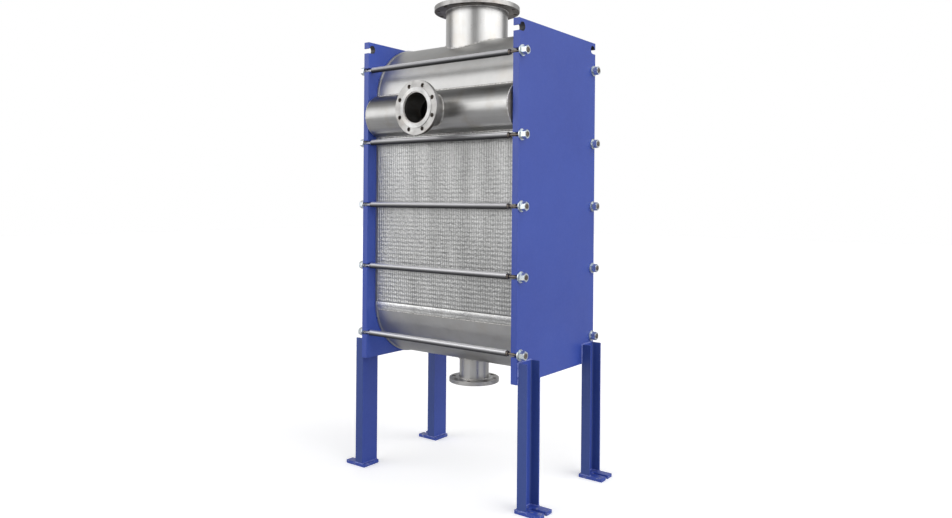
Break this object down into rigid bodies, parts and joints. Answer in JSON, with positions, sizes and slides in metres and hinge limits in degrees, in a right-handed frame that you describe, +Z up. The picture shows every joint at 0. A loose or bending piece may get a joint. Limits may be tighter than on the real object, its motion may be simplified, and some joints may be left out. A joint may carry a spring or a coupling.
{
  "type": "plate heat exchanger",
  "caption": "Welded plate heat exchanger: a stainless plate pack with round caps and side headers, clamped by tie rods between blue end plates on channel legs, with flanged nozzles.",
  "frame": {"origin": "on the floor, below the middle of the plate pack and midway between the two end plates", "axes": "+X along the tie rods towards the end plate with the tightening nuts, -Y towards the upper side nozzle, +Z up"},
  "size_m": [1.332, 1.1, 2.65],
  "materials": {
    "blue_paint": "semi-gloss blue paint, worn at the feet",
    "shell_steel": "brushed and pickled stainless sheet",
    "pipe_steel": "rolled stainless pipe with a lengthwise weld",
    "flange_steel": "machined stainless with light heat tint",
    "pack_steel": "thin pressed stainless edges",
    "zinc_plate": "bright zinc plate",
    "rod_steel": "bare oiled steel, brown at the thread",
    "sleeve_steel": "drawn tube, satin"
  },
  "bodies": {
    "root": {"bottom_cap": "shell_steel", "bottom_nozzle_flange": "flange_steel", "bottom_nozzle_pipe": "pipe_steel", "foot_plate_front_left": "blue_paint", "foot_plate_front_right": "blue_paint", "foot_plate_rear_left": "blue_paint", "foot_plate_rear_right": "blue_paint", "front_header": "shell_steel", "front_header_ends": "shell_steel", "front_nozzle_flange": "flange_steel", "front_nozzle_pipe": "pipe_steel", "gap_bars_front": "pack_steel", "gap_bars_rear": "pack_steel", "header_ledge_front": "shell_steel", "header_ledge_rear": "shell_steel", "left_end_plate": "blue_paint", "left_nuts": "zinc_plate", "left_side_panel": "shell_steel", "left_washers": "zinc_plate", "leg_front_left": "blue_paint", "leg_front_right": "blue_paint", "leg_rear_left": "blue_paint", "leg_rear_right": "blue_paint", "pack_strip_front": "shell_steel", "pack_strip_rear": "shell_steel", "plate_cassettes": "pack_steel", "rear_header": "shell_steel", "rear_header_ends": "shell_steel", "rear_nozzle_flange": "flange_steel", "rear_nozzle_pipe": "pipe_steel", "right_end_plate": "blue_paint", "right_side_panel": "shell_steel", "rod_sleeves_front": "sleeve_steel", "rod_sleeves_rear": "sleeve_steel", "tie_rods_front": "rod_steel", "tie_rods_rear": "rod_steel", "top_cap": "shell_steel", "top_nozzle_flange": "flange_steel", "top_nozzle_pipe": "pipe_steel"},
    "washer_front_1": {"washer_front_1": "zinc_plate"},
    "nut_front_1": {"nut_front_1": "zinc_plate"},
    "washer_front_2": {"washer_front_2": "zinc_plate"},
    "nut_front_2": {"nut_front_2": "zinc_plate"},
    "washer_front_3": {"washer_front_3": "zinc_plate"},
    "nut_front_3": {"nut_front_3": "zinc_plate"},
    "washer_front_4": {"washer_front_4": "zinc_plate"},
    "nut_front_4": {"nut_front_4": "zinc_plate"},
    "washer_front_5": {"washer_front_5": "zinc_plate"},
    "nut_front_5": {"nut_front_5": "zinc_plate"},
    "washer_rear_1": {"washer_rear_1": "zinc_plate"},
    "nut_rear_1": {"nut_rear_1": "zinc_plate"},
    "washer_rear_2": {"washer_rear_2": "zinc_plate"},
    "nut_rear_2": {"nut_rear_2": "zinc_plate"},
    "washer_rear_3": {"washer_rear_3": "zinc_plate"},
    "nut_rear_3": {"nut_rear_3": "zinc_plate"},
    "washer_rear_4": {"washer_rear_4": "zinc_plate"},
    "nut_rear_4": {"nut_rear_4": "zinc_plate"},
    "washer_rear_5": {"washer_rear_5": "zinc_plate"},
    "nut_rear_5": {"nut_rear_5": "zinc_plate"}
  },
  "joints": [
    {"name": "washer_front_1_travel", "type": "slide", "parent": "root", "child": "washer_front_1", "axis": [1, 0, 0], "range_m": [0, 0.009]},
    {"name": "nut_front_1_turn", "type": "hinge", "parent": "washer_front_1", "child": "nut_front_1", "pos_m": [0.542, -0.365, 0.78], "axis": [1, 0, 0], "range_deg": [0, 1081]},
    {"name": "washer_front_2_travel", "type": "slide", "parent": "root", "child": "washer_front_2", "axis": [1, 0, 0], "range_m": [0, 0.009]},
    {"name": "nut_front_2_turn", "type": "hinge", "parent": "washer_front_2", "child": "nut_front_2", "pos_m": [0.542, -0.365, 1.165], "axis": [1, 0, 0], "range_deg": [0, 1081]},
    {"name": "washer_front_3_travel", "type": "slide", "parent": "root", "child": "washer_front_3", "axis": [1, 0, 0], "range_m": [0, 0.009]},
    {"name": "nut_front_3_turn", "type": "hinge", "parent": "washer_front_3", "child": "nut_front_3", "pos_m": [0.542, -0.365, 1.515], "axis": [1, 0, 0], "range_deg": [0, 1081]},
    {"name": "washer_front_4_travel", "type": "slide", "parent": "root", "child": "washer_front_4", "axis": [1, 0, 0], "range_m": [0, 0.009]},
    {"name": "nut_front_4_turn", "type": "hinge", "parent": "washer_front_4", "child": "nut_front_4", "pos_m": [0.542, -0.365, 1.87], "axis": [1, 0, 0], "range_deg": [0, 1081]},
    {"name": "washer_front_5_travel", "type": "slide", "parent": "root", "child": "washer_front_5", "axis": [1, 0, 0], "range_m": [0, 0.009]},
    {"name": "nut_front_5_turn", "type": "hinge", "parent": "washer_front_5", "child": "nut_front_5", "pos_m": [0.542, -0.365, 2.285], "axis": [1, 0, 0], "range_deg": [0, 1081]},
    {"name": "washer_rear_1_travel", "type": "slide", "parent": "root", "child": "washer_rear_1", "axis": [1, 0, 0], "range_m": [0, 0.009]},
    {"name": "nut_rear_1_turn", "type": "hinge", "parent": "washer_rear_1", "child": "nut_rear_1", "pos_m": [0.542, 0.365, 0.78], "axis": [1, 0, 0], "range_deg": [0, 1081]},
    {"name": "washer_rear_2_travel", "type": "slide", "parent": "root", "child": "washer_rear_2", "axis": [1, 0, 0], "range_m": [0, 0.009]},
    {"name": "nut_rear_2_turn", "type": "hinge", "parent": "washer_rear_2", "child": "nut_rear_2", "pos_m": [0.542, 0.365, 1.165], "axis": [1, 0, 0], "range_deg": [0, 1081]},
    {"name": "washer_rear_3_travel", "type": "slide", "parent": "root", "child": "washer_rear_3", "axis": [1, 0, 0], "range_m": [0, 0.009]},
    {"name": "nut_rear_3_turn", "type": "hinge", "parent": "washer_rear_3", "child": "nut_rear_3", "pos_m": [0.542, 0.365, 1.515], "axis": [1, 0, 0], "range_deg": [0, 1081]},
    {"name": "washer_rear_4_travel", "type": "slide", "parent": "root", "child": "washer_rear_4", "axis": [1, 0, 0], "range_m": [0, 0.009]},
    {"name": "nut_rear_4_turn", "type": "hinge", "parent": "washer_rear_4", "child": "nut_rear_4", "pos_m": [0.542, 0.365, 1.87], "axis": [1, 0, 0], "range_deg": [0, 1081]},
    {"name": "washer_rear_5_travel", "type": "slide", "parent": "root", "child": "washer_rear_5", "axis": [1, 0, 0], "range_m": [0, 0.009]},
    {"name": "nut_rear_5_turn", "type": "hinge", "parent": "washer_rear_5", "child": "nut_rear_5", "pos_m": [0.542, 0.365, 2.285], "axis": [1, 0, 0], "range_deg": [0, 1081]}
  ],
  "couplings": [
    {"joint": "nut_front_1_turn", "follows": "washer_front_1_travel", "rad_per_m": 2094.4},
    {"joint": "nut_front_2_turn", "follows": "washer_front_2_travel", "rad_per_m": 2094.4},
    {"joint": "nut_front_3_turn", "follows": "washer_front_3_travel", "rad_per_m": 2094.4},
    {"joint": "nut_front_4_turn", "follows": "washer_front_4_travel", "rad_per_m": 2094.4},
    {"joint": "nut_front_5_turn", "follows": "washer_front_5_travel", "rad_per_m": 2094.4},
    {"joint": "nut_rear_1_turn", "follows": "washer_rear_1_travel", "rad_per_m": 2094.4},
    {"joint": "nut_rear_2_turn", "follows": "washer_rear_2_travel", "rad_per_m": 2094.4},
    {"joint": "nut_rear_3_turn", "follows": "washer_rear_3_travel", "rad_per_m": 2094.4},
    {"joint": "nut_rear_4_turn", "follows": "washer_rear_4_travel", "rad_per_m": 2094.4},
    {"joint": "nut_rear_5_turn", "follows": "washer_rear_5_travel", "rad_per_m": 2094.4}
  ]
}
